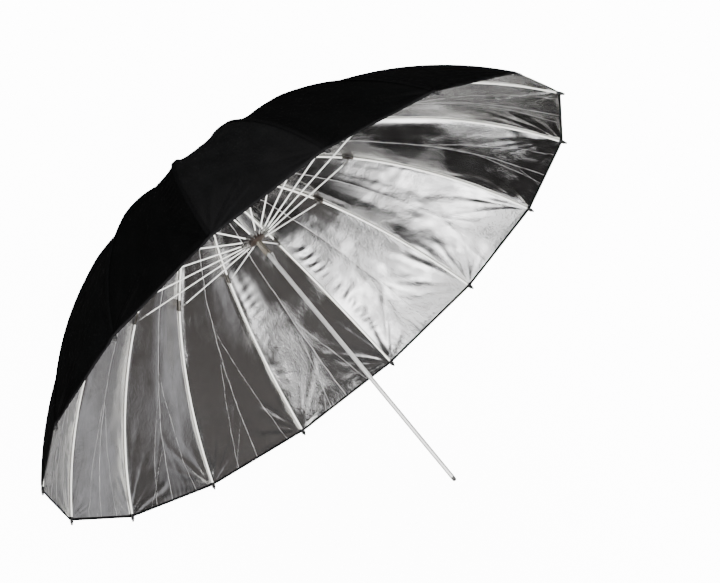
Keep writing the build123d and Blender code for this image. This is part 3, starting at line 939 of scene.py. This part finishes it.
line_x, line_y, line_slope = rib_line(rows_at)
level = line_x * cos(pitch / 2)
out_direction = np.stack([np.cos(mid_gore_turn), 0 * mid_gore_turn, np.sin(mid_gore_turn)], -1)
rim_direction = np.stack([-np.sin(mid_gore_turn), 0 * mid_gore_turn, np.cos(mid_gore_turn)], -1)
spot = level[:, None, None] * (out_direction + rim_direction * tangent[:, None])[None]
spot[..., 1] = crown_y + line_y[:, None]
outwards = out_direction[None] * np.sin(line_slope)[:, None, None]
facing = outwards + np.array([0, 1, 0]) * np.cos(line_slope)[:, None, None]

distance = np.broadcast_to(rows_at[:, None], (row_count, column_count))
half_width = level[:, None] * tan(pitch / 2)
from_middle = half_width * across_gore[None]  # signed distance from the middle of the gore
from_rib = half_width - np.abs(from_middle)
to_rim = rim_at - distance
share = distance / rim_at


def soft_step(value, low, high):
    part = np.clip((value - low) / (high - low), 0, 1)
    return part * part * (3 - 2 * part)


def sag():
    """Cloth pulled in slightly between the ribs, as tension does where it curves two ways."""
    return -sag_depth * np.sin(pi * np.clip(share, 0, 1)) ** 1.2 * (1 - across_gore[None] ** 2)


def crinkles():
    """Long soft waves down the cloth, with small crinkles in patches."""
    turn = mid_gore_turn + np.arctan(tangent)
    ring = np.stack([np.cos(turn), np.sin(turn)], -1) * 0.45
    folded = np.stack([
        np.broadcast_to(ring[None, :, 0], distance.shape),
        np.broadcast_to(ring[None, :, 1], distance.shape),
        distance * 0.16,
    ], -1)
    lengthwise = layered_noise(folded, lengthwise_layers)
    soft = smooth_noise(spot, 0.070, 3) * 0.0014
    rough_patch = np.clip(0.5 + 1.2 * smooth_noise(spot, 0.20, 11), 0.08, 1)
    small = layered_noise(spot, small_layers) * rough_patch
    return lengthwise * soft_step(share, 0.05, 0.35) + (soft + small) * soft_step(share, 0.0, 0.2)


def rib_puckers():
    """Rows of short folds beside some of the seams, where the thread draws the cloth up."""
    height = np.full((rib_count, 2), 0.0001)
    for gore, side, drawn_up in drawn_seams:
        height[gore, side] = drawn_up
    sides = (across_gore > 0).astype(int)
    drawn = height[gore_of_column, sides][None]
    waves = np.sin(2 * pi * distance / pucker_pitch + 3.5 * smooth_noise(spot, 0.08, 7))
    uneven = 0.7 + 0.6 * smooth_noise(spot, 0.05, 10)
    ends = soft_step(share, 0.44, 0.56) * soft_step(to_rim, 0.06, 0.16)
    return drawn * waves * uneven * bump(from_rib, pucker_from_rib, pucker_reach) * ends


def middle_creases():
    """Crease left by folding along the middle of each gore, forked near the rim."""
    along_fold = np.stack([share * 4, gore_of_column[None] + share * 0, share * 0], -1)
    wander = crease_wander * smooth_noise(along_fold, 1.0, 8)
    fork = np.clip(share - crease_fork_share, 0, 1) * rim_at * tan(radians(crease_fork_angle))
    offset = np.abs(from_middle - wander)
    ridge = np.exp(-np.abs(offset - fork) / crease_half_width)
    return crease_height * ridge * soft_step(share, 0.18, 0.4) * (1 - 0.5 * soft_step(share, 0.9, 1.0))


def tip_fans():
    """Folds that spread from each rib tip, where the corner of the cloth is pulled."""
    lift = np.zeros_like(distance)
    reach = np.hypot(to_rim, from_rib) + 1e-6
    turn = np.arctan2(from_rib, to_rim)
    for gore in range(rib_count):
        for side in (-1, 1):
            here = (gore_of_column == gore)[None] & (from_middle * side >= 0)
            for fold in range(fan_folds):
                centre = radians(fan_start + fan_step * fold + random.uniform(-fan_scatter, fan_scatter))
                length = random.uniform(*fan_lengths) * (1.0 if fold < 5 else 0.7)
                width = fan_width + fan_spread * reach
                height = random.uniform(*fan_heights) * random.choice([-1, 1, 1])
                fade = (1 - np.exp(-(reach / fan_clear) ** 2)) * np.exp(-(reach / length) ** 2)
                lift += here * height * np.exp(-((turn - centre) * reach / width) ** 2) * fade
    blend_middle = 1 - np.exp(-((half_width - from_rib) / 0.012) ** 2)
    return lift * blend_middle


def hem_gathers():
    """Short waves along the rim, where the tape gathers the cloth."""
    waves = np.sin(2 * pi * from_middle / gather_pitch + 3 * smooth_noise(spot, 0.04, 9))
    uneven = 0.5 + 0.5 * smooth_noise(spot, 0.09, 12)
    return gather_height * uneven * waves * np.exp(-to_rim / gather_reach) * soft_step(from_rib, 0.0, 0.02)


def seam_ridge():
    """Cloth doubled at the seam over each rib."""
    return seam_height * np.exp(-(from_rib / seam_reach) ** 4)


hold_rim = soft_step(to_rim, -0.001, 0.012) * 0.75 + 0.25
hold_rib = 0.08 + 0.92 * soft_step(from_rib, 0.003, 0.014)
held_folds = hold_rib * (crinkles() * hold_rim + middle_creases() + tip_fans())
lift = sag() + held_folds + rib_puckers() + hem_gathers()
lift = np.where(distance < crown_flat[1], lift * soft_step(distance, *crown_flat), lift)
inside = spot + facing * lift[..., None]

# directions across and along the sheet, taken over the whole ring so that the seams join
along_sheet = np.gradient(inside, axis=0)
across_sheet = (np.roll(inside, -1, 1) - np.roll(inside, 1, 1)) / 2
normals = np.cross(across_sheet, along_sheet)
normals /= np.linalg.norm(normals, axis=-1, keepdims=True)
normals *= np.sign(np.sum(normals * facing, -1, keepdims=True))
outside = inside + normals * (fabric_thickness + seam_ridge()[..., None])
cloth_across = (gore_of_column[None] + 1.0) + from_middle


def sheet_grid(layers, first_row, last_row, index):
    """Rows and columns of one sector of a layer, half a gore on each side of a rib."""
    middle = index * columns_per_gore
    columns = np.arange(middle - columns_per_gore // 2, middle + columns_per_gore // 2 + 1) % column_count
    return [layer[first_row:last_row + 1][:, columns] for layer in layers]


def corners_of(mesh):
    """Vertex at each corner of the faces."""
    corners = np.zeros(len(mesh.loops), int)
    mesh.loops.foreach_get("vertex_index", corners)
    return corners


def set_cloth_places(mesh, values):
    layer = mesh.uv_layers.new(name="cloth")
    layer.data.foreach_set("uv", values.astype(np.float32).ravel())


def sheet_mesh(name, under, over, under_normals, over_normals, cloth):
    """Closed thin sheet between two grids of points: over skin, under skin and the edge."""
    rows, columns = under.shape[:2]
    count = rows * columns
    points = np.concatenate([over.reshape(-1, 3), under.reshape(-1, 3)])
    grid = np.arange(count).reshape(rows, columns)
    quads = np.stack([grid[:-1, :-1], grid[:-1, 1:], grid[1:, 1:], grid[1:, :-1]], -1).reshape(-1, 4)
    # both skins are cut along the same diagonals, so that neither shows through the other
    skin = np.concatenate([quads[:, [0, 1, 2]], quads[:, [0, 2, 3]]])
    border = np.concatenate([grid[0, :-1], grid[:-1, -1], grid[-1, :0:-1], grid[:0:-1, 0]])
    after = np.roll(border, -1)
    walls = np.concatenate([np.stack([after, border, border + count], -1),
                            np.stack([after, border + count, after + count], -1)])
    faces = np.concatenate([skin, skin[:, ::-1] + count, walls])
    mesh = bpy.data.meshes.new(name)
    mesh.from_pydata(points.tolist(), [], faces.tolist())
    kinds = np.repeat([0, 1, 2], [len(skin), len(skin), len(walls)])
    mesh.polygons.foreach_set("material_index", kinds)
    corners = corners_of(mesh)
    flat = cloth.reshape(-1, 2)
    values = flat[corners % count].copy()
    # a corner on the seam takes the gore that its face is in
    middle_column = (columns - 1) // 2
    on_seam = (corners % count) % columns == middle_column
    face_column = ((faces % count) % columns).min(1)
    left = on_seam & (np.repeat(face_column, 3) < middle_column)
    values[left, 0] = left_edge_value(flat, corners[left] % count)
    set_cloth_places(mesh, values)
    mesh.shade_smooth()
    all_normals = np.concatenate([over_normals.reshape(-1, 3), under_normals.reshape(-1, 3)])
    mesh.normals_split_custom_set_from_vertices(all_normals.tolist())
    mesh.update()
    return mesh


def left_edge_value(flat, spots):
    """Cloth place of a seam corner in the gore before the seam, carried on from its last two columns."""
    return 2 * flat[spots - 1, 0] - flat[spots - 2, 0]


cover_layers = [inside, outside, -normals, normals, np.stack([cloth_across, distance], -1)]
cover_finishes = ("nylon", "silver", "tape")
cover_sectors = []


def finish_cloth(piece, index, body, node):
    axis = rib_turn(index).to_3x3() @ Vector((0, 0, 1))
    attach(piece, body)
    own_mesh(piece)
    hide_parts(node)


for index in range(rib_count):
    number = f"{index + 1:02d}"
    for part, body, rows in (("inner", f"rib_{number}", (0, inner_rows)),
                             ("outer", f"rib_end_{number}", (inner_rows, row_count - 1))):
        grids = sheet_grid(cover_layers, *rows, index)
        mesh = sheet_mesh(f"cover_{part}_{number}", *grids)
        piece = link(mesh.name, mesh, cover_finishes)
        finish_cloth(piece, index, body, "canopy")
        cover_sectors.append((piece, part, rows))


# ---- hem: tape folded over the rim, sewn with two rows of stitches ----
def make_stitch_tree():
    """Stitches laid along a line, from their pitch, length and thread."""
    inputs = [
        ("Line", "NodeSocketGeometry", None),
        ("Pitch", "NodeSocketFloat", stitch_pitch),
        ("Length", "NodeSocketFloat", stitch_length),
        ("Thread radius", "NodeSocketFloat", thread_radius),
        ("Material", "NodeSocketMaterial", None),
    ]
    tree = new_tree("stitch_row", inputs, [("Geometry", "NodeSocketGeometry")], "GeometryNodeTree")
    nodes = Nodes(tree)
    start = nodes.add("NodeGroupInput").outputs
    curve = nodes.add("GeometryNodeMeshToCurve", {0: start["Line"]})
    even = nodes.add("GeometryNodeResampleCurve", {
        "Curve": curve.outputs[0], "Length": start["Pitch"]}, mode="LENGTH")
    ball = nodes.add("GeometryNodeMeshIcoSphere", {"Radius": 1.0, "Subdivisions": 2})
    size = nodes.add("ShaderNodeCombineXYZ", {
        0: nodes.times(start["Length"], 0.5), 1: start["Thread radius"], 2: start["Thread radius"]})
    stitch = nodes.add("GeometryNodeTransform", {"Geometry": ball.outputs[0], "Scale": size.outputs[0]})
    lie = nodes.add("GeometryNodeInputTangent")
    turn = nodes.add("FunctionNodeAlignRotationToVector", {"Vector": lie.outputs[0]}, axis="X")
    laid = nodes.add("GeometryNodeInstanceOnPoints", {
        "Points": even.outputs[0], "Instance": stitch.outputs[0], "Rotation": turn.outputs[0]})
    end_geometry_tree(nodes, laid.outputs[0], start["Material"])
    return tree


stitch_tree = make_stitch_tree()


def stitch_row(points):
    """Mesh of stitches laid along a row of points."""
    line = bpy.data.meshes.new("stitch_line")
    edges = [(step, step + 1) for step in range(len(points) - 1)]
    line.from_pydata([tuple(point) for point in points], edges, [])
    values = {"Pitch": stitch_pitch, "Length": stitch_length, "Thread radius": thread_radius,
              "Material": finishes["black_thread"]}
    return grow(stitch_tree, values, line)


def tape_section():
    """Folded tape at each column, from the outside round the edge to the inside, and its stitch lines."""
    last = row_count - 1
    lean = inside[last] - inside[last - 1]
    lean /= np.linalg.norm(lean, axis=-1, keepdims=True)
    normal = normals[last]
    middle = (inside[last] + outside[last]) / 2
    reach_out = fabric_thickness / 2 + tape_thickness
    rows = [min(np.searchsorted(rows_at, rim_at - binding_depth * part), last) for part in (1.0, 0.5, 0.0)]
    outer_skin = [(inside[row] + outside[row]) / 2 + normals[row] * reach_out for row in rows]
    shoulder = lean * (binding_reach - reach_out)
    edge = [middle + lean * (binding_reach - reach_out + reach_out * cos(turn))
            + normal * reach_out * sin(turn) for turn in np.linspace(pi / 2, -pi / 2, 7)[1:-1]]
    lip = middle - lean * binding_inside - normal * reach_out
    rings = outer_skin + [middle + shoulder + normal * reach_out] + edge
    rings += [middle + shoulder - normal * reach_out, lip, lip + normal * tape_thickness]
    rings.append(outer_skin[0] - normals[rows[0]] * tape_thickness)
    return np.stack(rings), (outer_skin[1], lip + lean * stitch_inset)


tape_rings, stitch_lines = tape_section()


def make_hem(index):
    number = f"{index + 1:02d}"
    start = index * columns_per_gore
    columns = np.arange(start - columns_per_gore // 2, start + columns_per_gore // 2 + 1) % column_count
    grid = tape_rings[:, columns]
    rows, width = grid.shape[:2]
    order = np.arange(rows * width).reshape(rows, width)
    upper = np.roll(order, -1, 0)
    quads = np.stack([order[:, :-1], upper[:, :-1], upper[:, 1:], order[:, 1:]], -1).reshape(-1, 4)
    ends = [tuple(order[:, 0]), tuple(order[::-1, -1])]
    mesh = bpy.data.meshes.new(f"hem_{number}")
    mesh.from_pydata(grid.reshape(-1, 3).tolist(), [], quads.tolist() + ends)
    lengths = np.concatenate([[0], np.cumsum(np.linalg.norm(np.diff(grid.mean(1), axis=0), axis=-1))])
    corners = corners_of(mesh)
    sideways = np.linspace(-0.5, 0.5, width) * 2 * rim_radius * tan(pitch / 2)
    set_cloth_places(mesh, np.stack([sideways[corners % width], lengths[corners // width]], -1))
    work = bmesh.new()
    work.from_mesh(mesh)
    bmesh.ops.recalc_face_normals(work, faces=work.faces)
    tape_faces = len(work.faces)
    for line in stitch_lines:
        stitches = stitch_row(line[columns[2:-2]])
        work.from_mesh(stitches)
        bpy.data.meshes.remove(stitches)
    work.faces.ensure_lookup_table()
    for face in work.faces[tape_faces:]:
        face.material_index = 1
    work.to_mesh(mesh)
    work.free()
    mesh.shade_smooth()
    mesh.set_sharp_from_angle(angle=radians(60))
    piece = link(mesh.name, mesh, ("tape", "black_thread"))
    finish_cloth(piece, index, f"rib_end_{number}", "rim_binding")
    return piece


hems = [make_hem(index) for index in range(rib_count)]

# ---- number and body of each sector of the cover, not used further ----
for piece, part, (first_row, last_row) in cover_sectors:
    number = piece.name[-2:]
    body = "rib_end" if part == "outer" else "rib"

# ---- finishes of the parts that keep their shape ----
kept_finishes = {
    "shaft_tube": "chrome",
    "ferrule_cap": "chrome",
    "shaft_end_plug": "black",
    "crown_notch": "black",
    "fabric_washer": "black",
    "crown_wire": "fitting",
    "runner_wire": "fitting",
    "catch_spring": "chrome",
    "runner_gallery": "brown",
    "runner_sleeve": "runner_steel",
}
for node, finish in kept_finishes.items():
    for holder in frame["nodes"][node].material_slots:
        holder.material = finishes[finish]

# ---- floor, light and camera ----
floor_z = -0.86
floor_half = 9.0
floor_glow = 10.0
white_seen = (11.0, 11.0, 11.0, 1.0)
white_on_matt = (4.4, 4.4, 4.4, 1.0)
dark_gap = (0.016, 0.015, 0.015)
# soft boxes that shiny surfaces mirror: direction, full and outer half angle, fall and colour
mirrored_boxes = (
    ((-0.57, -0.82, 0.02), 5, 40, 5.0, (6.0, 6.0, 6.05)),
    ((0.75, -0.42, -0.50), 8, 36, 1.3, (0.36, 0.36, 0.376)),
    ((0.40, -0.90, 0.16), 16, 42, 1.0, (0.050, 0.043, 0.040)),
    ((-0.40, 0.37, 0.84), 26, 50, 1.0, (5.5, 5.5, 5.4)),
)


def make_floor():
    mesh = bpy.data.meshes.new("studio_floor")
    corners = ((-1, -1), (1, -1), (1, 1), (-1, 1))
    mesh.from_pydata([(x * floor_half, y * floor_half, floor_z) for x, y in corners], [], [(0, 1, 2, 3)])
    material, nodes, shader = start_material("pale_floor", 0.8)
    shader.inputs["Base Color"].default_value = (0.86, 0.86, 0.86, 1.0)
    shader.inputs["Emission Color"].default_value = (1.0, 1.0, 1.0, 1.0)
    shader.inputs["Emission Strength"].default_value = floor_glow
    mesh.materials.append(material)
    floor = place_in_scene(bpy.data.objects.new("studio_floor", mesh))
    floor.visible_glossy = False
    floor.visible_diffuse = False


def add_light(name, place, aim, size, power):
    data = bpy.data.lights.new(name, "AREA")
    data.shape = "RECTANGLE"
    data.size = size
    data.size_y = size
    data.energy = power
    lamp = place_in_scene(bpy.data.objects.new(name, data))
    lamp.location = place
    lamp.rotation_mode = "QUATERNION"
    lamp.rotation_quaternion = (Vector(aim) - Vector(place)).to_track_quat("-Z", "Y")


def make_world():
    """Pale studio: even to the eye and to matt surfaces, with soft boxes and dark gaps for shiny ones."""
    world = bpy.data.worlds.new("studio")
    bpy.context.scene.world = world
    world.use_nodes = True
    tree = world.node_tree
    nodes = Nodes(tree)
    background = tree.nodes["Background"]
    direction = nodes.add("ShaderNodeTexCoord").outputs["Generated"]

    def softbox(aim, inner, outer, fall):
        goal = Vector(aim).normalized()
        links = {0: direction, 1: goal}
        facing_share = nodes.add("ShaderNodeVectorMath", links, operation="DOT_PRODUCT").outputs["Value"]
        return nodes.math("POWER", nodes.ramp(facing_share, cos(radians(outer)), cos(radians(inner))), fall)

    glossy = dark_gap
    for aim, inner, outer, fall, colour in mirrored_boxes:
        links = {0: colour, "Scale": softbox(aim, inner, outer, fall)}
        lit = nodes.add("ShaderNodeVectorMath", links, operation="SCALE").outputs[0]
        glossy = nodes.add("ShaderNodeVectorMath", {0: glossy, 1: lit}, operation="ADD").outputs[0]
    path = nodes.add("ShaderNodeLightPath").outputs
    soft = nodes.mix(path["Is Glossy Ray"], white_on_matt, glossy)
    seen = nodes.mix(path["Is Camera Ray"], soft, white_seen)
    tree.links.new(seen, background.inputs["Color"])


def make_camera():
    place = Vector((-1.502, -1.324, 4.807))
    aim = Vector((0.010, 0.237, 0.305))
    roll = radians(7.16)
    data = bpy.data.cameras.new("camera")
    data.sensor_width = 36.0
    data.lens = 116.3
    camera = place_in_scene(bpy.data.objects.new("camera", data))
    camera.location = place
    camera.rotation_mode = "QUATERNION"
    turn = (aim - place).to_track_quat("-Z", "Y").to_matrix() @ Matrix.Rotation(roll, 3, "Z")
    camera.rotation_quaternion = turn.to_quaternion()
    bpy.context.scene.camera = camera


make_floor()
make_world()
add_light("key_softbox", (-2.2, -1.0, 3.6), (0, 0.3, 0), 2.4, 60.0)
add_light("back_softbox", (1.2, 3.6, 2.6), (0, 0.3, 0), 2.6, 90.0)
make_camera()
